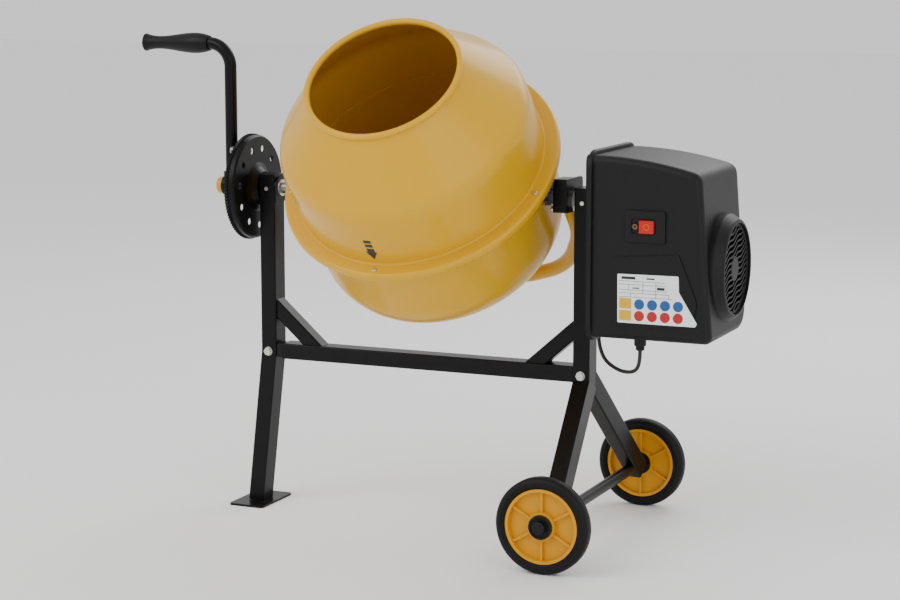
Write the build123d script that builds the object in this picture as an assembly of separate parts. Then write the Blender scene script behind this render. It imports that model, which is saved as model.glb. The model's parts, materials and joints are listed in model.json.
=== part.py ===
from build123d import *
import os
from math import cos, pi, radians, sin, tan

os.makedirs("parts", exist_ok=True)

# ---- Driving dimensions (mm) ----
axis_height = 579.0         # tilt axis above the floor
drum_radius = 219.0
drum_offset = 15.0          # drum centre from mid-way between the posts, along X
drum_tilt = 43.0            # drum axis from upright, mouth towards -Y, at rest
drum_wall = 2.0
brim_width = 26.5
brim_top = 74.5             # along the drum axis, from the tilt axis
brim_skirt = 12.0
crease_height = 184.0
crease_round = 55.0
mouth_rise = 110.0          # mouth above the crease, along the drum axis
mouth_radius = 132.0        # to the middle of the rolled lip
lip_radius = 5.5
bowl_bottom = 142.0         # depth of the drum's bottom below the tilt axis
bowl_corner = 92.0
hub_radius, hub_height, hub_flange = 28.0, 40.0, 4.0
spindle_radius = 9.0
paddle_angle = -20.0        # the first paddle, about the drum axis
paddle_depth = 62.0
screw_count = 5             # brim screws
first_screw = -91.5
first_screw_gap = 79.0      # degrees to the second screw; the others share the rest

post_width = 30.0           # post tube along X
post_depth = 40.0           # post tube along Y
post_wall = 2.0
post_corner = 3.0
bend_height = 283.5         # where the left leg kinks and the crossbar is bolted
right_bend_drop = 17.5      # the right post bends this far lower
left_splay = 31.0           # how far the left foot stands out along X
right_splay = 22.0          # how far the wheel axle stands out along X
foot_length, foot_width, foot_thickness = 69.0, 115.0, 4.0
crossbar_height = 28.0
crossbar_gap = 11.0         # left end of the crossbar to the left post
brace_size = 26.0
brace_rise = 77.5           # brace centre line on the post, above the crossbar's bolt
brace_reach = 70.0          # brace centre line on the crossbar, from the post face

wheel_radius = 80.0
wheel_width = 30.0
wheel_track = 496.0
tyre_depth = 16.5
axle_radius = 6.0
axle_tube_radius = 10.0

ring_teeth = 100
pinion_teeth = 10
ring_width = 11.0
counter_offset = 25.0       # pinion shaft above the tilt axis, along the drum axis
drive_gear_teeth = 11
counter_gear_teeth = 14

yoke_radius = 13.0
yoke_wall = 2.0
yoke_under = 70.0           # yoke tube below the drum's bottom
trunnion_radius = 10.0
trunnion_tube_radius = 11.0
drive_shaft_radius = 6.0

disc_radius = 92.5
disc_depth = 18.0
disc_gap = 12.0             # disc face to the left post
disc_holes = 11
disc_hole_ring = 69.0
disc_hole_radius = 6.0
disc_sheet = 2.0
disc_bolt_y, disc_bolt_drop = 13.0, 15.5
lock_angle = 18.73         # the hole that the lock pin faces, from upright towards -Y
lever_radius = 11.0
lever_plane = 66.0          # lever tube centre from the left post's outer face
lever_rise = 255.0          # grip centre line above the tilt axis
lever_bend = 42.0
grip_length = 134.0
grip_radius = 14.0

housing_gap = 23.0          # right post to the housing's back plate
housing_half_depth = 107.0
housing_drop = 212.0        # housing bottom below the tilt axis
housing_height = 301.0
housing_length = 216.0      # flange to the end at the bottom
housing_wall = 3.0
housing_fall = 26.0         # top edge at the end, below the flange
end_round, back_round, edge_round = 20.0, 45.0, 12.0
flange_corner = 30.0
flange_lip = 7.0
belt_drop = 99.0            # motor shaft below the drive shaft
grille_radius = 75.5
stop_shift = 19.7           # stop button beyond the start button
stop_width, stop_height = 24.8, 21.0
fan_pulley_radius = 6.5
drive_pulley_radius = 54.0
belt_thickness = 3.0
gland_radius = 7.5
boot_length = 20.0
cord_radius = 3.25
coil_radius = 40.0
coil_thickness = 8.0        # half the thickness of the hanging coil

running = 0.06              # radial clearance of a shaft in its bore
gap = 0.4                   # clearance between neighbours that move
yoke_gap = 6.5              # brim to the yoke's centre line
case_reach = 18.5           # gear case beyond the brim
washer_room = 6.0           # gear case to the right post

# ---- Derived places ----
crease_radius = drum_radius - 0.5
brim_radius = drum_radius + brim_width
mouth_height = crease_height + mouth_rise
ring_inner = drum_radius - 1
ring_outer = ring_inner + ring_width
gear_module = (ring_inner + ring_outer + 3) / ring_teeth
yoke_half_width = brim_radius + yoke_gap
yoke_depth = bowl_bottom + yoke_under
case_right = drum_offset + brim_radius + case_reach
case_left = case_right - 24
case_drop = 17.0
inner_face = case_right + washer_room
outer_face = inner_face + post_width
post_x = inner_face + post_width / 2
post_top = axis_height + 24.5
brace_height = bend_height + brace_rise
wheel_x = post_x + right_splay
rim_radius = wheel_radius - tyre_depth
lever_x = -outer_face - lever_plane
pinion_pitch = pinion_teeth * gear_module / 2
counter_module = 2 * counter_offset / (drive_gear_teeth + counter_gear_teeth)
drive_gear_pitch = drive_gear_teeth * counter_module / 2
counter_gear_pitch = counter_gear_teeth * counter_module / 2
bowl_radius = drum_radius - drum_wall
hub_top = -bowl_bottom + hub_height
disc_x = -outer_face - disc_gap
back_plate_x = outer_face + housing_gap
flange_x = back_plate_x + 4
shell_x = flange_x + 8
pulley_x = back_plate_x + 24
housing_bottom = axis_height - housing_drop
housing_top = housing_bottom + housing_height
panel_bottom = housing_bottom + 25      # raised panel that carries the rating plate
motor_height = axis_height - belt_drop
switch_x, switch_z = shell_x + 74.6, axis_height - 24
stop_x = switch_x + stop_shift
gland_x, gland_y = shell_x + 77, 23 - housing_half_depth
coil_x, coil_y, coil_z = shell_x + 80, housing_half_depth + 15, housing_bottom + 167

parts = {}


def put(name, *solids):
    """Store one node; several solids become one compound."""
    parts[name] = solids[0] if len(solids) == 1 else Compound(children=list(solids))


def rod_x(x0, x1, radius, y=0.0, z=0.0):
    return Pos((x0 + x1) / 2, y, z) * Rot(0, 90, 0) * Cylinder(radius, abs(x1 - x0))


def rod_y(y0, y1, radius, x=0.0, z=0.0):
    return Pos(x, (y0 + y1) / 2, z) * Rot(90, 0, 0) * Cylinder(radius, abs(y1 - y0))


def rod_z(z0, z1, radius, x=0.0, y=0.0):
    return Pos(x, y, (z0 + z1) / 2) * Cylinder(radius, abs(z1 - z0))


def block(x0, x1, y0, y1, z0, z1):
    return Pos((x0 + x1) / 2, (y0 + y1) / 2, (z0 + z1) / 2) * Box(abs(x1 - x0), abs(y1 - y0), abs(z1 - z0))


def tube_section(size_x, size_y, corner):
    return RectangleRounded(size_x, size_y, corner)


def on_drum(shape):
    """Place a shape drawn with the drum axis along Z and the tilt axis along X."""
    return Pos(drum_offset, 0, axis_height) * Rot(drum_tilt, 0, 0) * shape


def on_axis(shape):
    """Place a shape drawn about the tilt axis in the untilted frame."""
    return Pos(0, 0, axis_height) * shape


def bent_bar(points, size_x, size_y, corner):
    """A solid rectangular bar along a path of straight runs."""
    path = Polyline(*points)
    start = Plane(origin=points[0], x_dir=(1, 0, 0), z_dir=path % 0)
    return sweep(start * tube_section(size_x, size_y, corner), path, transition=Transition.RIGHT)


def hollow_tube(points, size_x, size_y, corner, wall):
    """The same bar with its bore, which stops one wall short of the first end."""
    outer = bent_bar(points, size_x, size_y, corner)
    first = Vector(*points[0])
    step = (Vector(*points[1]) - first).normalized() * wall
    last = Vector(*points[-1])
    run = (last - Vector(*points[-2])).normalized() * wall
    inner_points = [tuple(first + step)] + list(points[1:-1]) + [tuple(last + run)]
    inner_corner = max(corner - wall, 0.5)
    inner = bent_bar(inner_points, size_x - 2 * wall, size_y - 2 * wall, inner_corner)
    return outer - inner


def largest(shape):
    return max(shape.solids(), key=lambda solid: solid.volume)


def hexagon_head(radius, height):
    return extrude(RegularPolygon(radius, 6), height)


def gear_outline(teeth, module, tooth_width, addendum, dedendum):
    """A spur gear of tapered straight teeth; tooth_width is at the pitch circle."""
    pitch = teeth * module / 2
    root = pitch - dedendum
    tip = pitch + addendum
    body = Circle(root)
    tooth = make_face(Polyline(
        (root - 1, -tooth_width * 0.68), (tip, -tooth_width * 0.32),
        (tip, tooth_width * 0.32), (root - 1, tooth_width * 0.68), close=True))
    for index in range(teeth):
        body += Rot(0, 0, index * 360 / teeth) * tooth
    return body


# ---- Frame ----
def make_posts():
    """Left post with its splayed leg, right post with its front leg, and the rear leg."""
    foot_x = -post_x - left_splay
    left_points = [(-post_x, 0, post_top), (-post_x, 0, bend_height), (foot_x, 0, foot_thickness)]
    left = hollow_tube(left_points, post_width, post_depth, post_corner, post_wall)
    left -= block(foot_x - 70, foot_x + 80, -60, 60, -40, foot_thickness)
    left -= rod_x(-outer_face - 5, -inner_face + 5, trunnion_radius + running, 0, axis_height)
    put("left_post", largest(left))
    leg_y = wheel_track / 2 - wheel_width / 2 - 24
    bend = Vector(post_x, 0, bend_height - right_bend_drop)
    axle = Vector(wheel_x, -leg_y, wheel_radius)
    end = axle + (axle - bend).normalized() * 9
    front_points = [(post_x, 0, post_top), tuple(bend), tuple(end)]
    right_outer = bent_bar(front_points, post_width, post_depth, post_corner)
    right = hollow_tube(front_points, post_width, post_depth, post_corner, post_wall)
    axle_hole = rod_y(-wheel_track, wheel_track, axle_tube_radius, wheel_x, wheel_radius)
    right -= axle_hole
    right -= rod_x(inner_face - 5, outer_face + 5, trunnion_tube_radius, 0, axis_height)
    for z in (axis_height - 52, housing_bottom + 60):
        right += block(outer_face, back_plate_x, -13, 13, z - 13, z + 13)
        right -= block(outer_face, back_plate_x + 1, -10, 10, z - 10, z + 10)
    right = largest(right)
    put("right_post", right)
    rear_points = [(post_x, 4, bend_height - 6), (end.X, -end.Y, end.Z)]
    way = (Vector(*rear_points[1]) - Vector(*rear_points[0])).normalized()
    plane = Plane(origin=rear_points[0], x_dir=Vector(0, 0, 1).cross(way), z_dir=way)
    length = (Vector(*rear_points[1]) - Vector(*rear_points[0])).length
    rear = extrude(plane * tube_section(post_width - 2, post_depth - 4, post_corner), length)
    bore = tube_section(post_width - 2 - 2 * post_wall, post_depth - 4 - 2 * post_wall, 1)
    rear -= extrude(plane * bore, length)
    rear -= right_outer
    rear -= axle_hole
    put("rear_leg", largest(rear))


def make_foot_plate():
    plate = extrude(RectangleRounded(foot_length, foot_width, 6), foot_thickness)
    put("foot_plate", Pos(-post_x - left_splay, 0, 0) * plate)


def make_crossbar():
    """The bar between the posts, its recessed spigot on the left, and the two braces."""
    bar_z = bend_height + 1.5
    bar_start = -inner_face + crossbar_gap
    width = post_depth - 2
    plane = Plane(origin=(bar_start, 0, bar_z), x_dir=(0, 1, 0), z_dir=(1, 0, 0))
    length = inner_face - bar_start
    bar = extrude(plane * tube_section(width, crossbar_height, post_corner), length)
    bar -= extrude(plane * tube_section(width - 2 * post_wall, crossbar_height - 2 * post_wall, 1), length)
    put("crossbar", bar)
    spigot_width = width - 2 * post_wall - 0.6
    spigot_height = crossbar_height - 2 * post_wall - 0.6
    put("crossbar_spigot", block(-inner_face, bar_start + 25, -spigot_width / 2, spigot_width / 2,
                                 bar_z - spigot_height / 2, bar_z + spigot_height / 2))
    bar_top = bar_z + crossbar_height / 2
    for name, side in (("left_brace", -1), ("right_brace", 1)):
        rise = 30 * (brace_height - bar_top) / brace_reach
        top = Vector(side * (inner_face + 30), 0, brace_height + rise)
        foot = Vector(side * (inner_face - brace_reach - 30), 0, bar_top - rise)
        way = (foot - top).normalized()
        plane = Plane(origin=top, x_dir=(0, 1, 0), z_dir=way)
        long = (foot - top).length
        tube = extrude(plane * tube_section(post_width, brace_size, post_corner), long)
        tube -= extrude(plane * tube_section(post_width - 4, brace_size - 4, 1), long)
        keep = block(side * inner_face, side * (inner_face - 250), -60, 60, bar_top, bar_top + 200)
        put(name, largest(tube & keep))


def make_frame_fasteners():
    """Zinc bolts through both posts at the crossbar, and the small screws near the tops."""
    solids = []
    front = -post_depth / 2
    for side in (-1, 1):
        x = side * post_x
        washer = rod_y(front - 1.6, front, 8, x, bend_height)
        head = Pos(x, front - 1.6, bend_height) * Rot(90, 0, 0) * hexagon_head(7.2, 4.6)
        solids.append(largest(washer + head))
        solids.append(rod_y(front - 2.4, front, 3.6, x, axis_height - 1))
    # the right bolt goes into a nut welded inside its post
    nut = Pos(-post_x, -front + 1.6, bend_height) * Rot(-90, 0, 0) * hexagon_head(7.2, 6)
    solids.append(largest(rod_y(-front, -front + 1.6, 8, -post_x, bend_height) + nut))
    for y in (-disc_bolt_y, disc_bolt_y):
        seat = -outer_face - disc_sheet
        head = Pos(seat, y, axis_height - disc_bolt_drop) * Rot(0, -90, 0) * hexagon_head(5.4, 3.6)
        solids.append(largest(head + rod_x(seat, -outer_face, 3, y, axis_height - disc_bolt_drop)))
    put("frame_bolts", *solids)


def make_axle():
    leg_face = wheel_track / 2 - wheel_width / 2 - 6
    tube = rod_y(-leg_face, leg_face, axle_tube_radius, wheel_x, wheel_radius)
    tube -= rod_y(-leg_face, leg_face, axle_radius, wheel_x, wheel_radius)
    put("axle_tube", tube)
    half = wheel_track / 2 + wheel_width / 2 + 7
    put("wheel_axle", rod_y(-half, half, axle_radius, wheel_x, wheel_radius))
    caps = []
    for side in (-1, 1):
        start = side * (half - 5)
        stop = side * (half + 3)
        cap = rod_y(start, stop, 11, wheel_x, wheel_radius)
        edge = cap.faces().sort_by(Axis.Y)[0 if side < 0 else -1].edges()
        cap = fillet(edge, 3)
        cap -= rod_y(start - side, side * half, axle_radius, wheel_x, wheel_radius)
        caps.append(cap)
    put("axle_caps", *caps)


def make_wheel(prefix, side):
    """Tyre, ribbed rim and hub bush of one wheel, about its own axis, then put in place."""
    place = Pos(wheel_x, side * wheel_track / 2, wheel_radius) * Rot(90 if side < 0 else -90, 0, 0)
    half = wheel_width / 2
    bead = rim_radius - 1.5
    tyre_profile = make_face(Polyline(
        (bead, -half + 5), (bead + 4, -half + 1), (bead + 8, -half), (wheel_radius - 6, -half + 1),
        (wheel_radius, -half + 7), (wheel_radius, half - 7), (wheel_radius - 6, half - 1),
        (bead + 8, half), (bead + 4, half - 1), (bead, half - 5), close=True))
    put(prefix + "_tyre", place * revolve(Plane.XZ * tyre_profile, Axis.Z))
    hub_radius = 20.0
    web = 3.0
    rim_profile = make_face(Polyline(
        (hub_radius, -half + 3), (hub_radius + 4, -half + 3), (hub_radius + 4, -web),
        (bead - 6, -web), (bead - 5, -half + 3), (bead, -half + 3),
        (bead, half - 3), (bead - 5, half - 3), (bead - 6, web), (hub_radius + 4, web),
        (hub_radius + 4, half - 3), (hub_radius, half - 3), close=True))
    rim = revolve(Plane.XZ * rim_profile, Axis.Z)
    for index in range(6):
        rib = block(hub_radius + 2, bead - 3, -2, 2, -half + 6, half - 6)
        rim += Rot(0, 0, index * 60 + 30) * rib
    put(prefix + "_rim", place * rim)
    bush = rod_z(-half + 1, half + 1, hub_radius) - rod_z(-half, half + 2, axle_radius + running)
    groove = rod_z(half - 1, half + 2, 17) - rod_z(half - 1, half + 2, 12.5)
    put(prefix + "_bush", place * (bush - groove))


# ---- Left trunnion, tilt disc and lever ----
def make_left_trunnion():
    """Bearing plate on the post and the shaft that turns in it with the yoke."""
    plate = extrude(Plane(origin=(-inner_face, 0, axis_height), x_dir=(0, 1, 0), z_dir=(1, 0, 0))
                    * Circle(post_depth / 2), 4)
    half = post_depth / 2
    plate += block(-inner_face, -inner_face + 4, -half, half, axis_height - 25, axis_height)
    plate -= rod_x(-inner_face - 1, -inner_face + 5, trunnion_radius + running, 0, axis_height)
    put("bearing_plate", plate)
    arm_x = drum_offset - yoke_half_width
    shaft = rod_x(lever_x - 22, arm_x + 4, trunnion_radius, 0, axis_height)
    put("left_trunnion", shaft)
    washer = rod_x(-inner_face + 4, -inner_face + 7, 15, 0, axis_height)
    washer -= rod_x(-inner_face + 2, -inner_face + 9, trunnion_radius + running, 0, axis_height)
    right_washer = rod_x(case_right + gap, inner_face, 17, 0, axis_height)
    right_washer -= rod_x(case_right - 1, inner_face + 1, trunnion_tube_radius, 0, axis_height)
    put("trunnion_washers", washer, right_washer)


def make_tilt_disc():
    """Dished pressed disc with a ring of lock holes and a toothed rim, fixed to the left post."""
    dish = disc_gap
    t = disc_sheet
    profile = make_face(Polyline(
        (trunnion_radius + 1.5, -dish + t), (trunnion_radius + 1.5, -dish), (28, -dish), (36, -4), (44, 0),
        (disc_radius - 3, 0), (disc_radius, 3), (disc_radius, disc_depth), (disc_radius - t, disc_depth),
        (disc_radius - t, t + 2), (disc_radius - 4, t), (43, t), (34.5, -3), (27, -dish + t), close=True))
    disc = revolve(Plane.XZ * profile, Axis.Z)
    for index in range(disc_holes):
        angle = radians(90 - lock_angle + index * 360 / disc_holes)
        disc -= rod_z(-5, 8, disc_hole_radius, disc_hole_ring * cos(angle), disc_hole_ring * sin(angle))
    teeth = 96
    points = []
    for index in range(2 * teeth):
        radius = disc_radius + (2.6 if index % 2 else 0.2)
        points.append((radius * cos(pi * index / teeth), radius * sin(pi * index / teeth)))
    ring = extrude(make_face(Polyline(*points, close=True)), 6)
    ring -= rod_z(-1, 7, disc_radius - t)
    disc += Pos(0, 0, disc_depth - 6) * ring
    # local +Z points to -X, local +Y points up and local +X to -Y
    place = Plane(origin=(disc_x, 0, axis_height), x_dir=(0, -1, 0), z_dir=(-1, 0, 0))
    turned = place.location * disc
    for y in (-disc_bolt_y, disc_bolt_y):
        turned -= rod_x(-outer_face - dish - 1, -outer_face + 1, 3, y, axis_height - disc_bolt_drop)
    put("tilt_disc", turned)


def make_lever():
    """Lever hub on the trunnion shaft, bent lever tube, rubber grip and the yellow end cap."""
    hub_start = lever_x + 33
    hub = rod_x(lever_x - 14, hub_start, 18)
    hub -= rod_x(lever_x - 15, hub_start + 1, trunnion_radius)
    plate_x = disc_x - disc_depth - 4
    plate = block(plate_x - 5, plate_x, -17, 17, 0, disc_hole_ring + 13)
    plate = Rot(lock_angle, 0, 0) * plate
    plate = fillet(plate.edges().filter_by(Axis.X).sort_by(Axis.Z)[-2:], 10)
    plate -= rod_x(plate_x - 6, plate_x + 1, trunnion_radius)
    brace = block(lever_x - 5, plate_x - 5, lever_radius, lever_radius + 4, 15, 62)
    hub += plate
    hub += brace
    lock_y = -disc_hole_ring * sin(radians(lock_angle))
    lock_z = disc_hole_ring * cos(radians(lock_angle))
    hub -= rod_x(plate_x - 6, plate_x + 1, 4.5 + running, lock_y, lock_z)
    socket = rod_z(8, 26, lever_radius + 4, lever_x)
    socket -= rod_x(lever_x - 30, lever_x + 40, 18)
    hub += socket
    tube_foot = 18.0
    grip_start = lever_x - lever_bend
    grip_end = grip_start - grip_length
    hub -= rod_z(tube_foot, 60, lever_radius, lever_x)
    hub = largest(hub)
    put("lever_hub", on_axis(hub))
    path = Polyline((lever_x, 0, tube_foot), (lever_x, 0, lever_rise), (grip_end + 4, 0, lever_rise))
    path = fillet([path.vertices()[1]], lever_bend)
    section = Plane(origin=(lever_x, 0, tube_foot), z_dir=(0, 0, 1))
    tube = sweep(section * (Circle(lever_radius) - Circle(lever_radius - 2)), path)
    put("tilt_lever", on_axis(tube))
    outline = Spline((grip_start, lever_radius + 2.5), ((grip_start + grip_end) / 2, grip_radius + 1),
                     (grip_end + 8, lever_radius + 3.2), (grip_end + 2, grip_radius + 2))
    face = make_face([outline, Polyline((grip_end + 2, grip_radius + 2), (grip_end, grip_radius - 1),
                                        (grip_end, 0), (grip_start, 0), (grip_start, lever_radius + 2.5))])
    grip = revolve(Plane.XZ * face, Axis.X)
    grip -= rod_x(grip_end + 4, grip_start + 1, lever_radius)
    put("lever_grip", Pos(0, 0, axis_height + lever_rise) * grip)
    cap_x = lever_x - 22
    cap = rod_x(cap_x - 5, cap_x + 7, 15)
    cap = fillet(cap.faces().sort_by(Axis.X)[0].edges(), 4.5)
    cap -= rod_x(cap_x, cap_x + 8, trunnion_radius)
    put("lever_cap", on_axis(cap))
    pin = rod_x(disc_x - 2.6 - 30, disc_x - 2.6, 4.5, lock_y, lock_z)
    pin = chamfer(pin.faces().sort_by(Axis.X)[-1].edges(), 1)
    knob = rod_x(disc_x - 2.6 - 40, disc_x - 2.6 - 30, 7.5, lock_y, lock_z)
    knob = fillet(knob.edges(), 2)
    put("lock_pin", on_axis(largest(pin + knob)))


# ---- Yoke and gear case ----
def case_box():
    return block(case_left, case_right, -40, 12, axis_height - case_drop, axis_height + 40)


def make_yoke():
    """Bent tube that carries the drum from below, with the seat of the drum spindle."""
    half = yoke_half_width
    side = [(half, 22), (half, -0.4 * yoke_depth), (half - 0.2 * yoke_depth, -0.82 * yoke_depth),
            (half - 0.63 * yoke_depth, -yoke_depth)]
    points = side + [(-x, z) for x, z in reversed(side)]
    bends = [0.66 * yoke_depth, 0.56 * yoke_depth, 0.66 * yoke_depth]
    line = Plane.XZ * FilletPolyline(*points, radius=bends + bends)
    start = Plane(origin=(half, 0, 22), z_dir=(0, 0, -1))
    tube = sweep(start * (Circle(yoke_radius) - Circle(yoke_radius - yoke_wall)), line)
    tube -= rod_z(-yoke_depth - 20, -yoke_depth + 20, spindle_radius)
    seat_top = -yoke_depth + yoke_radius + 8
    seat = rod_z(-yoke_depth, seat_top, 22) - rod_x(-50, 50, yoke_radius, 0, -yoke_depth)
    seat = max(seat.solids(), key=lambda solid: solid.bounding_box().max.Z)
    seat -= rod_z(-yoke_depth - 20, -yoke_depth + 40, spindle_radius)
    yoke = on_drum(tube + seat)
    yoke -= block(case_left - 20, inner_face, -60, 60, axis_height - case_drop, axis_height + 80)
    yoke -= rod_x(-inner_face, drum_offset - half + 4, trunnion_radius, 0, axis_height)
    put("yoke", largest(yoke))
    spindle = rod_z(-yoke_depth - 16, hub_top - 6, spindle_radius)
    shoulder = rod_z(seat_top, -bowl_bottom - hub_flange - gap, 14)
    nut = Pos(0, 0, -yoke_depth - yoke_radius - 8) * hexagon_head(13, 8)
    put("drum_spindle", on_drum(largest(spindle + shoulder + nut)))


def make_gear_case():
    """Black gear case at the right end of the tilt axis; it turns with the yoke."""
    case = case_box()
    case = fillet(case.edges().filter_by(Axis.X), 4)
    plate = block(case_right - 4, case_right, -30, 40, axis_height - case_drop, axis_height + 40)
    plate = fillet(plate.edges().filter_by(Axis.X).sort_by(Axis.Y)[-2:], 9)
    case += plate
    drive_cavity = drive_gear_pitch + 3
    counter_cavity = counter_gear_pitch + 3
    counter_y = -counter_offset * sin(radians(drum_tilt))
    counter_z = axis_height + counter_offset * cos(radians(drum_tilt))
    cavity_left, cavity_right = case_left + 3, case_right - 7
    case -= rod_x(cavity_left, cavity_right, drive_cavity, 0, axis_height)
    case -= rod_x(cavity_left, cavity_right, counter_cavity, counter_y, counter_z)
    case -= rod_x(cavity_right - 1, case_right + 1, trunnion_tube_radius + running, 0, axis_height)
    case -= rod_x(case_left - 1, cavity_left + 1, 5 + running, counter_y, counter_z)
    case -= rod_x(cavity_right - 1, case_right - 3, 5 + running, counter_y, counter_z)
    split = case_left + 5
    cover = case & block(case_left - 1, split, -60, 60, axis_height - 60, axis_height + 60)
    body = case & block(split, case_right + 1, -60, 60, axis_height - 60, axis_height + 60)
    put("gear_case", largest(body))
    put("gear_case_cover", largest(cover))
    bolts = []
    for y, z in ((-35, -10), (7, -10), (7, 33)):
        head = rod_x(case_left - 5, case_left, 4.5, y, axis_height + z)
        bolts.append(fillet(head.faces().sort_by(Axis.X)[0].edges(), 1.8))
    put("gear_case_bolts", *bolts)
    # fixed tube through the right post that the case turns on
    tube = rod_x(cavity_right + gap, back_plate_x + 4, trunnion_tube_radius, 0, axis_height)
    tube -= rod_x(cavity_right - 1, back_plate_x + 5, drive_shaft_radius + running, 0, axis_height)
    put("trunnion_tube", tube)


def make_gears():
    """Drive shaft and gear, counter gear on the pinion shaft, and the pinion under the brim."""
    gear_x0, gear_x1 = case_left + 4.5, case_right - 8.5
    width = gear_x1 - gear_x0
    # gears are drawn with local X along the drum axis and local Z along X
    lean = radians(drum_tilt)
    across = Plane(origin=(0, 0, 0), x_dir=(0, -sin(lean), cos(lean)), z_dir=(1, 0, 0))
    tooth = pi * counter_module / 2 * 0.72
    addendum, dedendum = 0.75 * counter_module, 1.1 * counter_module
    drive = gear_outline(drive_gear_teeth, counter_module, tooth, addendum, dedendum)
    drive = Pos(gear_x0, 0, axis_height) * across.location * extrude(drive, width)
    shaft = drive + rod_x(gear_x0, pulley_x + 9, drive_shaft_radius, 0, axis_height)
    put("drive_shaft", largest(shaft))
    # a gap of the counter gear faces the drive gear's first tooth
    half_pitch = 180 / counter_gear_teeth
    counter = gear_outline(counter_gear_teeth, counter_module, tooth, addendum, dedendum)
    counter = extrude(Rot(0, 0, 180 + half_pitch) * counter, width)
    counter_place = Pos(0, -counter_offset * sin(lean), axis_height + counter_offset * cos(lean))
    pinion_x0 = drum_offset + ring_inner + 1
    pinion_x1 = drum_offset + ring_outer
    pinion = Rot(0, 0, 180 / pinion_teeth) * gear_outline(pinion_teeth, gear_module, 4.6, 3.0, 4.2)
    pinion = extrude(pinion - Circle(5), pinion_x1 - pinion_x0)
    put("pinion", counter_place * Pos(pinion_x0, 0, 0) * across.location * pinion)
    shaft = rod_x(pinion_x0, case_right - 3 - gap, 5) + Pos(gear_x0, 0, 0) * across.location * counter
    put("pinion_shaft", counter_place * largest(shaft))


# ---- Drum ----
def shell_of(points, radii, wall, side):
    """A turned shell: an open outline of radius and height, thickened to one side."""
    line = FilletPolyline(*points, radius=radii)
    band = make_face(offset(line, amount=wall, side=side, closed=True))
    return revolve(Plane.XZ * band, Axis.Z)


def make_drum():
    """Upper drum with brim and rolled lip, lower bowl with its flange, hub, paddles and screws."""
    lip_z = mouth_height - lip_radius
    skirt_z = brim_top - brim_skirt
    upper = shell_of([(brim_radius, skirt_z), (brim_radius, brim_top), (drum_radius, brim_top),
                      (crease_radius, crease_height), (mouth_radius, lip_z)],
                     [6, 4, crease_round], drum_wall, Side.LEFT)
    lip = revolve(Plane.XZ * (Pos(mouth_radius, lip_z) * Circle(lip_radius)), Axis.Z)
    upper += lip
    flange_radius = brim_radius - 7
    ring_top = brim_top - 2 * drum_wall
    lower = shell_of([(0, -bowl_bottom), (bowl_radius, -bowl_bottom), (bowl_radius, ring_top),
                      (flange_radius, ring_top)],
                     [bowl_corner, 3], drum_wall, Side.LEFT)
    lower -= rod_z(-bowl_bottom - 5, -bowl_bottom + 5, hub_radius)
    screw_ring = (ring_outer + flange_radius) / 2 - 1.5
    spacing = (360 - first_screw_gap) / (screw_count - 1)
    second_screw = first_screw + first_screw_gap
    screw_angles = [first_screw] + [second_screw + index * spacing for index in range(screw_count - 1)]
    screw_places = [(screw_ring * cos(radians(a)), screw_ring * sin(radians(a))) for a in screw_angles]
    holes = [rod_z(brim_top - 20, brim_top + 5, 2.5, x, y) for x, y in screw_places]
    for hole in holes:
        upper -= hole
        lower -= hole
    put("drum_upper", on_drum(largest(upper)))
    put("drum_lower", on_drum(largest(lower)))
    pitch_z = counter_offset + pinion_pitch
    ring = revolve(Plane.XZ * make_face(Polyline(
        (ring_inner, pitch_z + 4.2), (ring_outer, pitch_z + 4.2), (ring_outer, ring_top - 4),
        (flange_radius - 1, ring_top - 4), (flange_radius - 1, ring_top),
        (ring_inner + 2.6, ring_top), (ring_inner, ring_top - 2.6), close=True)), Axis.Z)
    tooth = block(ring_inner, ring_outer, -2.4, 2.4, pitch_z - 3, pitch_z + 5)
    teeth = [Rot(0, 0, index * 360 / ring_teeth) * tooth for index in range(ring_teeth)]
    ring = ring.fuse(*teeth)
    for hole in holes:
        ring -= hole
    put("ring_gear", on_drum(largest(ring)))
    screws = []
    for x, y in screw_places:
        head = fillet(rod_z(brim_top, brim_top + 2.6, 4.2, x, y).faces().sort_by(Axis.Z)[-1].edges(), 1.4)
        screws.append(largest(head + rod_z(ring_top - 9, brim_top, 2.5, x, y)))
    screws = [on_drum(screw) for screw in screws]
    hub = rod_z(-bowl_bottom, hub_top, hub_radius) + rod_z(-bowl_bottom - hub_flange, -bowl_bottom, 48)
    hub -= rod_z(-bowl_bottom - 5, hub_top - 5, spindle_radius + running)
    put("drum_hub", on_drum(fillet(hub.faces().sort_by(Axis.Z)[-1].edges(), 6)))
    blades, bolts = [], []
    wall_in = bowl_radius - drum_wall
    straight_bottom = bowl_corner - bowl_bottom
    foot_places = (straight_bottom + 14, brim_top - 29.5)
    for angle in (paddle_angle, paddle_angle + 180):
        blade = block(wall_in - paddle_depth, wall_in - 9, -2, 2, straight_bottom - 16, brim_top - 6)
        blade = fillet(blade.edges().filter_by(Axis.Y), 14)
        for z in foot_places:
            blade += block(wall_in - 26, wall_in - 2, 2, 5, z - 14, z + 14)
            blade += block(wall_in - 5, wall_in + 4, 2, 24, z - 14, z + 14)
            bolts.append(on_drum(Rot(0, 0, angle) * rod_x(wall_in - 9, wall_in - 5, 5, 14, z)))
        blade = largest(blade & rod_z(-100, 100, wall_in))
        blades.append(on_drum(Rot(0, 0, angle) * blade))
    put("mixing_paddles", *blades)
    put("drum_screws", *screws, *bolts)


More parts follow.
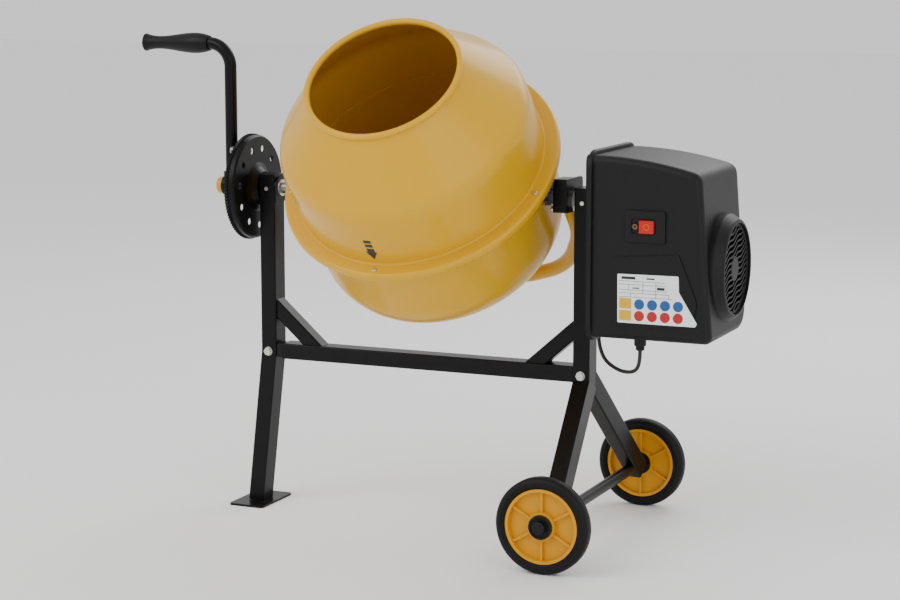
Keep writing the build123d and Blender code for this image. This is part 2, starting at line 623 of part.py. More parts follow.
# ---- Motor housing ----
def housing_solid(inset):
    """Body of the housing: arched top, an end that leans out towards the bottom, soft edges."""
    depth = housing_half_depth - inset
    bottom, top = housing_bottom + inset, housing_top - inset
    end_top = shell_x + housing_length - 34 - inset
    end_bottom = shell_x + housing_length - 12 - inset
    arch = ThreePointArc((shell_x, top), (shell_x + 107, top - 9), (end_top, top - housing_fall))
    sides = Polyline((end_top, top - housing_fall), (end_bottom, bottom), (shell_x, bottom), (shell_x, top))
    solid = extrude(Plane.XZ * make_face([arch, sides]), depth, both=True)
    end_edge = solid.edges().filter_by(Axis.Y).sort_by(Axis.X)[-2:].sort_by(Axis.Z)[-1]
    solid = fillet(end_edge, end_round - inset)
    back_bottom = solid.edges().filter_by(Axis.X).filter_by(lambda e: e.center().Y > 0)
    solid = fillet(back_bottom, back_round - inset)
    outer_edges = [e for e in solid.edges() if abs(e.center().Y) > depth - 1 and e.center().X > shell_x + 1]
    return fillet(outer_edges, edge_round - inset)


def flange_block(x0, x1, margin, corner):
    """A block over the housing's side outline, grown by a margin, with rounded corners."""
    plate = block(x0, x1, -housing_half_depth - margin, housing_half_depth + margin,
                  housing_bottom - margin, housing_top + margin)
    return fillet(plate.edges().filter_by(Axis.X), corner)


def make_housing():
    """Moulded shell with its flange and fan ring, back plate, grille and hook."""
    outer = housing_solid(0)
    ring_x1 = shell_x + housing_length
    ring_x0 = ring_x1 - 28
    bulge = make_face(Polyline(
        (0, ring_x0 - 10), (grille_radius + 16, ring_x0 - 10), (grille_radius + 15, ring_x0 + 12),
        (grille_radius + 5, ring_x1), (0, ring_x1), close=True))
    bulge = fillet(bulge.vertices().sort_by(Axis.X)[-3:].sort_by(Axis.Y)[1:], 6)
    outer += Pos(0, 0, motor_height) * Rot(0, 90, 0) * revolve(Plane.XZ * bulge, Axis.Z)
    flange = flange_block(flange_x, shell_x, flange_lip, flange_corner)
    outer += fillet(flange.faces().sort_by(Axis.X)[-1].edges(), 3)
    front = -housing_half_depth
    panel = make_face(Polyline(
        (shell_x + 36, panel_bottom), (shell_x + 36, panel_bottom + 111),
        (shell_x + 148, panel_bottom + 120), (shell_x + 198, panel_bottom), close=True))
    top_right = panel.vertices().sort_by(Axis.Z)[-1]
    panel = fillet(top_right, 38)
    panel = fillet(panel.vertices().sort_by(Axis.X)[:2], 8)
    outer += extrude(Plane(origin=(0, front + 1, 0), x_dir=(1, 0, 0), z_dir=(0, -1, 0)) * panel, 3)
    inner = housing_solid(housing_wall) + flange_block(flange_x - 1, shell_x + 1, -housing_wall, edge_round)
    shell = outer - inner
    shell -= rod_x(ring_x0 - 40, ring_x1 + 1, grille_radius, 0, motor_height)
    shell -= rod_z(housing_bottom - 5, housing_bottom + 10, gland_radius, gland_x, gland_y)
    shell -= rod_y(front - 5, front + 10, 6.4, switch_x, switch_z)
    shell -= block(stop_x - stop_width / 2 - 1, stop_x + stop_width / 2 + 1, front - 5, front + 10,
                   switch_z - stop_height / 2 - 1, switch_z + stop_height / 2 + 1)
    hook_z = coil_z + coil_radius - coil_thickness - 9.05
    hook_end = coil_y + coil_thickness + 1
    hook = rod_y(housing_half_depth - 1, hook_end, 9, coil_x, hook_z)
    hook += rod_y(hook_end, hook_end + 3, 14, coil_x, hook_z)
    shell += hook
    put("housing_shell", largest(shell))
    plate = block(back_plate_x, flange_x, -housing_half_depth, housing_half_depth,
                  housing_bottom, housing_top)
    plate = fillet(plate.edges().filter_by(Axis.X), 12)
    plate -= rod_x(back_plate_x - 1, flange_x + 1, trunnion_tube_radius, 0, axis_height)
    put("housing_back", plate)
    make_grille(ring_x0, ring_x1)


def make_grille(ring_x0, ring_x1):
    """Round fan grille: a ring, slanted slats and a plain hub."""
    depth = 6.0
    ring = Circle(grille_radius) - Circle(grille_radius - 7)
    slats = Sketch()
    for index in range(-6, 7):
        slats += Pos(0, index * 10.6) * Rectangle(2 * grille_radius, 4.6)
    slats = (Rot(0, 0, 38) * slats) & Circle(grille_radius - 6)
    hub = Circle(16)
    face = ring + slats + hub
    grille = extrude(face, depth)
    plane = Plane(origin=(ring_x1 - depth - 4, 0, motor_height), x_dir=(0, 1, 0), z_dir=(1, 0, 0))
    put("fan_grille", plane.location * largest(grille))


def make_controls():
    """Switch plate with its recess, the two push buttons and the rating plate."""
    front = -housing_half_depth
    plate = block(switch_x - 18, switch_x + 51, front - 4, front, switch_z - 26, switch_z + 26)
    plate = fillet(plate.edges().filter_by(Axis.Y), 4)
    half_width, half_height = stop_width / 2, stop_height / 2
    recess = block(switch_x - 6.5, stop_x + half_width + 3, front - 5, front - 2,
                   switch_z - 12, switch_z + 14)
    plate -= fillet(recess.edges().filter_by(Axis.Y), 5)
    plate -= rod_y(front - 5, front + 1, 5.2 + gap, switch_x, switch_z)
    plate -= block(stop_x - half_width - gap, stop_x + half_width + gap, front - 5, front + 1,
                   switch_z - half_height - gap, switch_z + half_height + gap)
    plate = fillet(plate.faces().sort_by(Axis.Y)[0].outer_wire().edges(), 1.5)
    put("switch_plate", plate)
    small = rod_y(front - 4.5, front + 2, 5.2, switch_x, switch_z)
    small += rod_y(front + 2, front + 5, 3, switch_x, switch_z)
    put("start_button", small)
    large = block(stop_x - half_width, stop_x + half_width, front - 6.5, front - 1,
                  switch_z - half_height, switch_z + half_height)
    large = fillet(large.edges().filter_by(Axis.Y), 1.5)
    large += rod_y(front - 1, front + 5, 4, stop_x, switch_z)
    put("stop_button", largest(large))
    label = make_face(Polyline(
        (shell_x + 46, panel_bottom + 4.5), (shell_x + 45, panel_bottom + 84.5),
        (shell_x + 149, panel_bottom + 85.5), (shell_x + 150, panel_bottom + 59.5),
        (shell_x + 181, panel_bottom + 10), (shell_x + 178, panel_bottom + 4.5), close=True))
    label = fillet(label.vertices(), 2)
    panel_face = Plane(origin=(0, front - 2, 0), x_dir=(1, 0, 0), z_dir=(0, -1, 0))
    put("rating_plate", extrude(panel_face * label, 0.8))


def grooved_pulley(radius, flange, bore, z):
    """A pulley with a flat groove between two flanges, bored for its shaft."""
    pulley = rod_x(pulley_x - 8, pulley_x + 8, radius + flange, 0, z)
    groove = rod_x(pulley_x - 6, pulley_x + 6, radius + 9, 0, z)
    groove -= rod_x(pulley_x - 7, pulley_x + 7, radius, 0, z)
    return pulley - groove - rod_x(pulley_x - 9, pulley_x + 9, bore, 0, z)


def belt_outline(clearance):
    """Area inside a line drawn round both pulleys at one clearance."""
    upper = Pos(0, axis_height) * Circle(drive_pulley_radius + clearance)
    lower = Pos(0, motor_height) * Circle(fan_pulley_radius + clearance)
    return make_hull(upper.edges() + lower.edges())


def make_drive():
    """Motor with rotor, fan and small pulley, the large pulley on the drive shaft, and the belt."""
    motor_x0, motor_x1 = back_plate_x + 48, back_plate_x + 168
    can = rod_x(motor_x0, motor_x1, 54, 0, motor_height)
    can = fillet(can.edges(), 5)
    can -= rod_x(motor_x0 + 12, motor_x1 - 12, 32, 0, motor_height)
    can -= rod_x(motor_x0 - 1, motor_x1 + 1, 5 + running, 0, motor_height)
    put("motor_body", can)
    rotor = rod_x(motor_x0 + 20, motor_x1 - 20, 30, 0, motor_height)
    rotor += rod_x(pulley_x - 10, motor_x1 + 30, 5, 0, motor_height)
    put("motor_rotor", rotor)
    fan_x = motor_x1 + 12
    fan = rod_x(fan_x, fan_x + 3, 60, 0, motor_height) + rod_x(fan_x, fan_x + 16, 12, 0, motor_height)
    for index in range(8):
        blade = block(fan_x + 3, fan_x + 16, -1.5, 1.5, 10, 60)
        fan += Pos(0, 0, motor_height) * Rot(index * 45, 0, 0) * blade
    fan -= rod_x(fan_x - 1, fan_x + 17, 5, 0, motor_height)
    put("cooling_fan", fan)
    mount = block(motor_x0 - 4, motor_x0, -64, 64, motor_height - 62, motor_height + 62)
    for side in (-1, 1):
        mount += block(flange_x, motor_x0, side * 60, side * 64, motor_height - 62, motor_height + 62)
    mount -= rod_x(motor_x0 - 5, motor_x0 + 1, 16, 0, motor_height)
    put("motor_mount", mount)
    put("motor_pulley", grooved_pulley(fan_pulley_radius, 2.6, 5, motor_height))
    wheel = grooved_pulley(drive_pulley_radius, 3, drive_shaft_radius, axis_height)
    hub = rod_x(pulley_x - 10, pulley_x + 10, 14, 0, axis_height)
    for side in (-1, 1):
        recess = rod_x(pulley_x + side * 3, pulley_x + side * 9, drive_pulley_radius - 7, 0, axis_height)
        wheel -= recess - hub
    put("drive_pulley", wheel)
    belt = belt_outline(gap + belt_thickness) - belt_outline(gap)
    plane = Plane(origin=(pulley_x - 5, 0, 0), x_dir=(0, 1, 0), z_dir=(1, 0, 0))
    put("drive_belt", plane.location * extrude(belt, 10))


# ---- Mains cord ----
# from the strain relief, round the loop below the housing, up between the post and the
# back plate, and round the back of the housing to the coil; X is from the post's outer
# face and Z from the housing's bottom
cord_route = [
    (112, -84, -20), (112, -84, -38), (105, -79, -54), (93, -70, -64), (73, -55, -67),
    (50, -37, -64), (31, -23, -56), (19, -14, -42), (13, -9, -22), (11, -4, 1),
    (11, 10, 23), (12, 31, 41), (14, 58, 51), (15, 85, 59), (18, 111, 70),
    (28, 131, 84), (45, 138, 101), (61, 133, 122), (72, 125, 144), (75, 122, 167)]
cord_points = [(outer_face + x, y, housing_bottom + z) for x, y, z in cord_route]


def corner_radii(points):
    """Arc at each point: 0.45 of the shorter run over the tangent of half the turn."""
    radii = []
    for before, here, after in zip(points, points[1:], points[2:]):
        first = Vector(*here) - Vector(*before)
        second = Vector(*after) - Vector(*here)
        half_turn = radians(first.get_angle(second)) / 2
        radii.append(0.45 * min(first.length, second.length) / tan(half_turn))
    return radii


def make_cord():
    """Gland with its strain relief, free cord, the coil on the housing's hook, and the plug."""
    top = housing_bottom
    gland = rod_z(top - 4, top, gland_radius + 2.5, gland_x, gland_y)
    gland += rod_z(top, top + 8, gland_radius, gland_x, gland_y)
    gland += Pos(gland_x, gland_y, top - boot_length / 2) * Cone(cord_radius + 1.4, gland_radius, boot_length)
    gland -= rod_z(top - 40, top + 20, cord_radius, gland_x, gland_y)
    put("cable_gland", gland)
    radii = corner_radii(cord_points)
    print("cord radii", [round(radius, 1) for radius in radii])
    path = FilletPolyline(*cord_points, radius=radii)
    section = Plane(origin=cord_points[0], z_dir=(0, 0, -1)) * Circle(cord_radius)
    cord = sweep(section, path)
    ideal = pi * cord_radius ** 2 * path.length
    print("cord", round(path.length, 1), "volume ratio", round(cord.volume / ideal, 4))
    coil = Pos(coil_x, coil_y, coil_z) * Rot(90, 0, 0) * Torus(coil_radius, coil_thickness)
    put("power_cord", largest(cord - coil))
    put("cord_coil", coil)
    plug_x, plug_y = coil_x + coil_radius + 1, coil_y + 4
    plug = Pos(plug_x, plug_y, coil_z - 36) * Cone(9, 5, 28)
    plug += Pos(plug_x, plug_y, coil_z - 68) * Cone(14, 17, 36)
    for side in (-9.5, 9.5):
        plug += rod_z(coil_z - 105, coil_z - 86, 2.4, plug_x + side, plug_y)
    put("power_plug", largest(plug - coil))


def shift_of(shapes):
    """Move that puts the origin under the middle of the whole object, on the floor."""
    boxes = [shape.bounding_box() for shape in shapes]
    middle_x = (min(box.min.X for box in boxes) + max(box.max.X for box in boxes)) / 2
    middle_y = (min(box.min.Y for box in boxes) + max(box.max.Y for box in boxes)) / 2
    return Vector(-middle_x, -middle_y, -min(box.min.Z for box in boxes))


def main():
    make_posts()
    make_foot_plate()
    make_crossbar()
    make_frame_fasteners()
    make_axle()
    make_wheel("front", -1)
    make_wheel("rear", 1)
    make_left_trunnion()
    make_tilt_disc()
    make_lever()
    make_yoke()
    make_gear_case()
    make_gears()
    make_drum()
    make_housing()
    make_controls()
    make_drive()
    make_cord()
    shift = Location(shift_of(parts.values()))
    print("shift", shift.position)
    for name, shape in parts.items():
        shape = shape.moved(shift)
        export_step(shape, f"parts/{name}.step")
        box = shape.bounding_box()
        print(name, len(shape.solids()), round(shape.volume), [round(v, 1) for v in (*box.min, *box.max)])
    print(len(parts), "nodes")


main()
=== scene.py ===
import json
import logging
import math
from dataclasses import dataclass, field
from enum import Enum
from typing import Iterable, Sequence

import bpy
from mathutils import Matrix, Vector


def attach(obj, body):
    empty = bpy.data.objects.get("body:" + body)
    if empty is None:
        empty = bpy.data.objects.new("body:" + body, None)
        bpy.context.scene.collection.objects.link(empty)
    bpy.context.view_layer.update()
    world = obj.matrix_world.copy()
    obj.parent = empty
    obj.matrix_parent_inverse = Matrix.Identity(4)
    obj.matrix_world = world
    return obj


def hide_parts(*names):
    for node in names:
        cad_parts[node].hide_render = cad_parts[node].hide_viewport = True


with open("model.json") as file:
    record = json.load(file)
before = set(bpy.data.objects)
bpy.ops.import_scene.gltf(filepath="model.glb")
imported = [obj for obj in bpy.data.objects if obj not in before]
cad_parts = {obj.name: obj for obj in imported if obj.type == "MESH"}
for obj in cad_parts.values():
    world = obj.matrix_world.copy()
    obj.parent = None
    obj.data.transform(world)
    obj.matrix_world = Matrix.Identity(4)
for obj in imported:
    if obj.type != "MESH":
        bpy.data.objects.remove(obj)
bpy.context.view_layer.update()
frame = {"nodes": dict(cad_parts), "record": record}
LOG = logging.getLogger("mixer")
MM = 0.001
SHIFT = Vector((-4.5, 12.8976, 0.0))
Point2 = tuple[float, float]
Point3 = tuple[float, float, float]
Socket = tuple[str, str]


def place(x: float, y: float, z: float) -> Vector:
    """Turn a point of the part's own drawing, in mm, into the shared frame.

    Args:
        x: Millimetres from mid-way between the posts.
        y: Millimetres from the tilt axis, towards the back.
        z: Millimetres above the floor.

    Returns:
        The same point in metres.
    """
    return (Vector((x, y, z)) + SHIFT) * MM


AXIS_HEIGHT = 579.0
DRUM_TILT = 43.0
DRUM_OFFSET = 15.0
DRUM_TURN = Matrix.Rotation(math.radians(DRUM_TILT), 4, "X")
DRUM_PLACE = Matrix.Translation(place(DRUM_OFFSET, 0.0, AXIS_HEIGHT)) @ DRUM_TURN
ALONG_X = Matrix.Rotation(math.radians(90), 4, "Y")
TOWARDS_FRONT = Matrix.Rotation(math.radians(90), 4, "X")


class Pattern(Enum):
    """How the fine relief of a finish is drawn."""

    GRAIN = "grain"
    PEBBLE = "pebble"
    BRUSHED = "brushed"


# ---- shader helpers ----
class Sheet:
    """A node tree being filled in, with short calls for the nodes that every finish uses."""

    def __init__(self, tree: bpy.types.NodeTree) -> None:
        """Start from an empty tree.

        Args:
            tree: The material's or the group's node tree.
        """
        self.tree = tree
        tree.nodes.clear()

    def add(self, kind: str, **settings: object) -> bpy.types.Node:
        """Add a node and set its properties.

        Args:
            kind: The node's type name.
            settings: Property names and values.

        Returns:
            The new node.
        """
        node = self.tree.nodes.new(kind)
        for name, value in settings.items():
            setattr(node, name, value)
        return node

    def join(self, source: bpy.types.NodeSocket, target: bpy.types.NodeSocket) -> None:
        """Link one socket to another."""
        self.tree.links.new(source, target)

    def math(self, operation: str, first: object, second: object) -> bpy.types.NodeSocket:
        """Combine two values, each a socket or a number.

        Args:
            operation: Name of the sum.
            first: Left value.
            second: Right value.

        Returns:
            The result's socket.
        """
        node = self.add("ShaderNodeMath", operation=operation)
        for socket, value in zip(node.inputs, (first, second)):
            if isinstance(value, (int, float)):
                socket.default_value = value
            else:
                self.join(value, socket)
        return node.outputs[0]

    def noise(self, vector: bpy.types.NodeSocket, scale: object, detail: float = 3.0) -> bpy.types.NodeSocket:
        """A noise value over the surface.

        Args:
            vector: The coordinates.
            scale: A number or a socket.
            detail: Octaves of the noise.

        Returns:
            The value's socket.
        """
        node = self.add("ShaderNodeTexNoise")
        node.inputs["Detail"].default_value = detail
        self.join(vector, node.inputs["Vector"])
        if isinstance(scale, (int, float)):
            node.inputs["Scale"].default_value = scale
        else:
            self.join(scale, node.inputs["Scale"])
        return node.outputs["Fac"]


def shared_group(name: str, inputs: Sequence[Socket], outputs: Sequence[Socket]) -> bpy.types.NodeTree:
    """A new shader node group with named sockets.

    Args:
        name: The group's name.
        inputs: Pairs of socket name and socket type.
        outputs: Pairs of socket name and socket type.

    Returns:
        The empty group.
    """
    group = bpy.data.node_groups.new(name, "ShaderNodeTree")
    for title, kind in inputs:
        group.interface.new_socket(title, in_out="INPUT", socket_type=kind)
    for title, kind in outputs:
        group.interface.new_socket(title, in_out="OUTPUT", socket_type=kind)
    return group


FLOAT = "NodeSocketFloat"
COLOR = "NodeSocketColor"


def make_tone_group() -> bpy.types.NodeTree:
    """Uneven tone: broad patches and fine speckle that lighten or darken a colour and its roughness."""
    group = shared_group("uneven_tone",
                         [("Color", COLOR), ("Scale", FLOAT), ("Depth", FLOAT), ("Roughness", FLOAT),
                          ("Spread", FLOAT)],
                         [("Color", COLOR), ("Roughness", FLOAT)])
    sheet = Sheet(group)
    given = sheet.add("NodeGroupInput")
    out = sheet.add("NodeGroupOutput")
    where = sheet.add("ShaderNodeTexCoord").outputs["Object"]
    broad = sheet.noise(where, given.outputs["Scale"])
    fine = sheet.noise(where, sheet.math("MULTIPLY", given.outputs["Scale"], 14.0), 2.0)
    mixed = sheet.math("ADD", sheet.math("MULTIPLY", broad, 0.7), sheet.math("MULTIPLY", fine, 0.3))
    swing = sheet.math("MULTIPLY", sheet.math("SUBTRACT", mixed, 0.5), given.outputs["Depth"])
    shade = sheet.add("ShaderNodeHueSaturation")
    sheet.join(given.outputs["Color"], shade.inputs["Color"])
    sheet.join(sheet.math("ADD", swing, 1.0), shade.inputs["Value"])
    sheet.join(shade.outputs["Color"], out.inputs["Color"])
    rough = sheet.math("MULTIPLY", sheet.math("SUBTRACT", broad, 0.5), given.outputs["Spread"])
    sheet.join(sheet.math("ADD", rough, given.outputs["Roughness"]), out.inputs["Roughness"])
    return group


def make_relief_group(pattern: Pattern) -> bpy.types.NodeTree:
    """Fine relief of one kind, as a height.

    Args:
        pattern: Which relief to draw.

    Returns:
        The group, with a Scale input and a Height output.
    """
    group = shared_group(f"relief_{pattern.value}", [("Scale", FLOAT)], [("Height", FLOAT)])
    sheet = Sheet(group)
    given = sheet.add("NodeGroupInput")
    out = sheet.add("NodeGroupOutput")
    where = sheet.add("ShaderNodeTexCoord").outputs["Object"]
    if pattern is Pattern.BRUSHED:
        stretch = sheet.add("ShaderNodeMapping")
        stretch.inputs["Scale"].default_value = (1.0, 1.0, 0.06)
        sheet.join(where, stretch.inputs["Vector"])
        height = sheet.noise(stretch.outputs["Vector"], given.outputs["Scale"], 4.0)
    elif pattern is Pattern.PEBBLE:
        cells = sheet.add("ShaderNodeTexVoronoi", feature="SMOOTH_F1")
        sheet.join(where, cells.inputs["Vector"])
        sheet.join(given.outputs["Scale"], cells.inputs["Scale"])
        height = sheet.math("ADD", cells.outputs["Distance"], sheet.noise(where, given.outputs["Scale"], 2.0))
    else:
        height = sheet.noise(where, given.outputs["Scale"], 5.0)
    sheet.join(height, out.inputs["Height"])
    return group


def make_rub_group() -> bpy.types.NodeTree:
    """Rubbed edges: a mask that is high on convex edges, broken up by noise."""
    group = shared_group("rubbed_edges", [("Scale", FLOAT), ("Amount", FLOAT)], [("Mask", FLOAT)])
    sheet = Sheet(group)
    given = sheet.add("NodeGroupInput")
    out = sheet.add("NodeGroupOutput")
    where = sheet.add("ShaderNodeTexCoord").outputs["Object"]
    point = sheet.add("ShaderNodeNewGeometry").outputs["Pointiness"]
    edge = sheet.math("MULTIPLY", sheet.math("SUBTRACT", point, 0.52), 9.0)
    patch = sheet.noise(where, given.outputs["Scale"])
    mask = sheet.math("MULTIPLY", edge, patch)
    clamp = sheet.add("ShaderNodeClamp")
    sheet.join(sheet.math("MULTIPLY", mask, given.outputs["Amount"]), clamp.inputs["Value"])
    sheet.join(clamp.outputs["Result"], out.inputs["Mask"])
    return group


class Effects:
    """The shared node groups, each made once and placed in every finish that needs it."""

    def __init__(self) -> None:
        """Make every group."""
        self.tone = make_tone_group()
        self.relief = {pattern: make_relief_group(pattern) for pattern in Pattern}
        self.rub = make_rub_group()


@dataclass(frozen=True)
class Finish:
    """A surface: its colour, gloss, unevenness and fine relief."""

    name: str
    color: Point3
    roughness: float
    metallic: float = 0.0
    coat: float = 0.0
    tone_scale: float = 6.0
    tone_depth: float = 0.12
    spread: float = 0.08
    pattern: Pattern = Pattern.GRAIN
    grain_scale: float = 400.0
    grain_depth: float = 0.00005
    grain_strength: float = 0.2
    rub: float = 0.0
    rub_color: Point3 = (0.45, 0.45, 0.46)
    specular: float = 0.5
    coat_roughness: float = 0.06
    rub_scale: float = 60.0

    def build(self, effects: Effects) -> bpy.types.Material:
        """Make the material.

        Args:
            effects: The shared node groups.

        Returns:
            The finished material.
        """
        material = bpy.data.materials.new(self.name)
        material.use_nodes = True
        material.diffuse_color = (*self.color, 1.0)
        sheet = Sheet(material.node_tree)
        out = sheet.add("ShaderNodeOutputMaterial")
        surface = sheet.add("ShaderNodeBsdfPrincipled")
        surface.inputs["Metallic"].default_value = self.metallic
        surface.inputs["Coat Weight"].default_value = self.coat
        surface.inputs["Coat Roughness"].default_value = self.coat_roughness
        surface.inputs["Specular IOR Level"].default_value = self.specular
        sheet.join(surface.outputs[0], out.inputs["Surface"])
        tone = sheet.add("ShaderNodeGroup", node_tree=effects.tone)
        tone.inputs["Color"].default_value = (*self.color, 1.0)
        tone.inputs["Scale"].default_value = self.tone_scale
        tone.inputs["Depth"].default_value = self.tone_depth
        tone.inputs["Roughness"].default_value = self.roughness
        tone.inputs["Spread"].default_value = self.spread
        color = tone.outputs["Color"]
        if self.rub:
            rub = sheet.add("ShaderNodeGroup", node_tree=effects.rub)
            rub.inputs["Scale"].default_value = self.rub_scale
            rub.inputs["Amount"].default_value = self.rub
            mix = sheet.add("ShaderNodeMix", data_type="RGBA")
            sheet.join(rub.outputs["Mask"], mix.inputs["Factor"])
            sheet.join(color, mix.inputs["A"])
            mix.inputs["B"].default_value = (*self.rub_color, 1.0)
            color = mix.outputs["Result"]
        sheet.join(color, surface.inputs["Base Color"])
        sheet.join(tone.outputs["Roughness"], surface.inputs["Roughness"])
        relief = sheet.add("ShaderNodeGroup", node_tree=effects.relief[self.pattern])
        relief.inputs["Scale"].default_value = self.grain_scale
        bump = sheet.add("ShaderNodeBump")
        bump.inputs["Strength"].default_value = self.grain_strength
        bump.inputs["Distance"].default_value = self.grain_depth
        sheet.join(relief.outputs["Height"], bump.inputs["Height"])
        sheet.join(bump.outputs["Normal"], surface.inputs["Normal"])
        return material


DRUM_YELLOW = (0.66, 0.35, 0.0)
FINISHES = {
    "yellow_paint": Finish("yellow_enamel", DRUM_YELLOW, 0.32, coat=0.15, specular=0.25,
                           tone_depth=0.06, grain_scale=260.0,
                           grain_depth=0.0002, grain_strength=0.12),
    "black_paint": Finish("black_powder_coat", (0.0035, 0.0035, 0.004), 0.3, tone_depth=0.3,
                          grain_scale=700.0,
                          grain_depth=0.0002, grain_strength=0.25, rub=0.25,
                          rub_color=(0.02, 0.02, 0.02), specular=0.15),
    "cast_iron": Finish("greased_iron", (0.09, 0.085, 0.08), 0.55, metallic=0.8, tone_depth=0.5, spread=0.2),
    "bright_steel": Finish("turned_steel", (0.22, 0.22, 0.23), 0.34, metallic=1.0, pattern=Pattern.BRUSHED,
                           grain_scale=900.0),
    "zinc": Finish("zinc_plate", (0.62, 0.61, 0.57), 0.32, metallic=1.0, tone_scale=90.0, tone_depth=0.3,
                   spread=0.15),
    "motor_alloy": Finish("cast_alloy", (0.42, 0.42, 0.43), 0.45, metallic=1.0, tone_depth=0.2),
    "black_plastic": Finish("moulded_black", (0.006, 0.006, 0.0065), 0.46, tone_depth=0.2,
                            pattern=Pattern.PEBBLE,
                            grain_scale=900.0, grain_depth=0.0003, grain_strength=0.35, specular=0.22),
    "rubber_grip": Finish("grip_rubber", (0.004, 0.004, 0.004), 0.42, specular=0.2, tone_depth=0.25,
                          pattern=Pattern.PEBBLE,
                          grain_scale=1200.0, grain_depth=0.0002),
    "yellow_plastic": Finish("cap_yellow", (0.62, 0.31, 0.0), 0.3, tone_depth=0.08),
    "label": Finish("label_film", (0.82, 0.84, 0.86), 0.35, tone_depth=0.04),
    "red_plastic": Finish("button_red", (0.5, 0.01, 0.006), 0.4, specular=0.25, tone_depth=0.1),
    "button_plastic": Finish("button_dark", (0.008, 0.007, 0.007), 0.35, tone_depth=0.1),
    "tyre": Finish("tyre_rubber", (0.004, 0.004, 0.0045), 0.5, specular=0.2, tone_depth=0.35,
                   pattern=Pattern.PEBBLE,
                   grain_scale=1500.0, grain_depth=0.0002),
    "rim_plastic": Finish("rim_orange", (0.6, 0.27, 0.0), 0.42, specular=0.25, tone_depth=0.1,
                          grain_scale=500.0),
    "print_black": Finish("ink_black", (0.012, 0.012, 0.014), 0.45, tone_depth=0.1),
    "print_blue": Finish("ink_blue", (0.002, 0.075, 0.28), 0.4, tone_depth=0.1),
    "print_red": Finish("ink_red", (0.42, 0.005, 0.005), 0.4, tone_depth=0.1),
    "print_yellow": Finish("ink_yellow", (0.68, 0.38, 0.0), 0.4, tone_depth=0.1),
    "print_gold": Finish("foil_gold", (0.5, 0.3, 0.04), 0.35, metallic=0.6, tone_depth=0.2),
    "cord_sheath": Finish("cord_black", (0.005, 0.005, 0.0055), 0.5, tone_depth=0.2),
}


# ---- modelling helpers ----
def only(piece: bpy.types.Object) -> None:
    """Select one object, deselect all others and make it the active one."""
    bpy.ops.object.select_all(action="DESELECT")
    piece.select_set(True)
    bpy.context.view_layer.objects.active = piece


def settle(piece: bpy.types.Object, where: Matrix) -> bpy.types.Object:
    """Move a piece by a matrix and keep its object at the origin, unturned.

    Args:
        piece: A mesh object.
        where: The move, in metres.

    Returns:
        The same object.
    """
    only(piece)
    bpy.ops.object.transform_apply(location=True, rotation=True, scale=True)
    piece.data.transform(where)
    piece.data.update()
    return piece


def smooth(piece: bpy.types.Object, angle: float = 35.0) -> bpy.types.Object:
    """Shade smooth, except over edges sharper than an angle in degrees."""
    only(piece)
    bpy.ops.object.shade_smooth_by_angle(angle=math.radians(angle))
    return piece


def applied(piece: bpy.types.Object, kind: str, **settings: object) -> bpy.types.Object:
    """Add a modifier and apply it.

    Args:
        piece: A mesh object.
        kind: The modifier's type.
        settings: Its properties.

    Returns:
        The same object.
    """
    only(piece)
    modifier = piece.modifiers.new(kind.title(), kind)
    for name, value in settings.items():
        setattr(modifier, name, value)
    bpy.ops.object.modifier_apply(modifier=modifier.name)
    return piece


def turned(name: str, line: Sequence[Point2], steps: int = 96, closed: bool = False) -> bpy.types.Object:
    """Spin an outline of radius and height, in mm, once round Z.

    Args:
        name: The piece's name.
        line: The outline's points.
        steps: Segments round the turn.
        closed: Whether the last point joins the first.

    Returns:
        The turned mesh object, about the origin, with its faces outwards.
    """
    bpy.ops.object.select_all(action="DESELECT")
    bpy.ops.mesh.primitive_plane_add(size=MM, location=(line[0][0] * MM, 0.0, line[0][1] * MM))
    piece = bpy.context.object
    piece.name = name
    bpy.ops.object.transform_apply(location=True, rotation=True, scale=True)
    bpy.ops.object.mode_set(mode="EDIT")
    bpy.ops.mesh.select_all(action="SELECT")
    bpy.ops.mesh.merge(type="CENTER")
    stops = list(line) + ([line[0]] if closed else [])
    for before, after in zip(stops, stops[1:]):
        step = ((after[0] - before[0]) * MM, 0.0, (after[1] - before[1]) * MM)
        bpy.ops.mesh.extrude_region_move(TRANSFORM_OT_translate={"value": step})
    bpy.ops.mesh.select_all(action="SELECT")
    bpy.ops.mesh.spin(steps=steps, angle=2 * math.pi, center=(0, 0, 0), axis=(0, 0, 1))
    bpy.ops.mesh.select_all(action="SELECT")
    bpy.ops.mesh.remove_doubles(threshold=0.00002)
    bpy.ops.mesh.normals_make_consistent(inside=False)
    bpy.ops.object.mode_set(mode="OBJECT")
    return smooth(piece)


def rounded(points: Sequence[Point2], radii: Sequence[float], pieces: int = 8) -> list[Point2]:
    """Round the inner corners of an outline with arcs.

    Args:
        points: The outline.
        radii: One radius for each point between the first and the last.
        pieces: Segments in each arc.

    Returns:
        The points of the rounded outline.
    """
    result = [tuple(points[0])]
    for before, here, after, radius in zip(points, points[1:], points[2:], radii):
        corner = Vector(here)
        first = (Vector(before) - corner).normalized()
        second = (Vector(after) - corner).normalized()
        half = first.angle(second) / 2
        centre = corner + (first + second).normalized() * (radius / math.sin(half))
        start = corner + first * (radius / math.tan(half)) - centre
        sweep = math.pi - 2 * half
        if first.cross(second) > 0:
            sweep = -sweep
        for index in range(pieces + 1):
            turn = Matrix.Rotation(sweep * index / pieces, 2)
            spot = centre + turn @ start
            result.append((spot.x, spot.y))
    result.append(tuple(points[-1]))
    return result


def arc(centre: Point2, radius: float, start: float, stop: float, pieces: int) -> list[Point2]:
    """Points along an arc, with its angles in degrees."""
    angles = [math.radians(start + (stop - start) * index / pieces) for index in range(pieces + 1)]
    return [(centre[0] + radius * math.cos(a), centre[1] + radius * math.sin(a)) for a in angles]


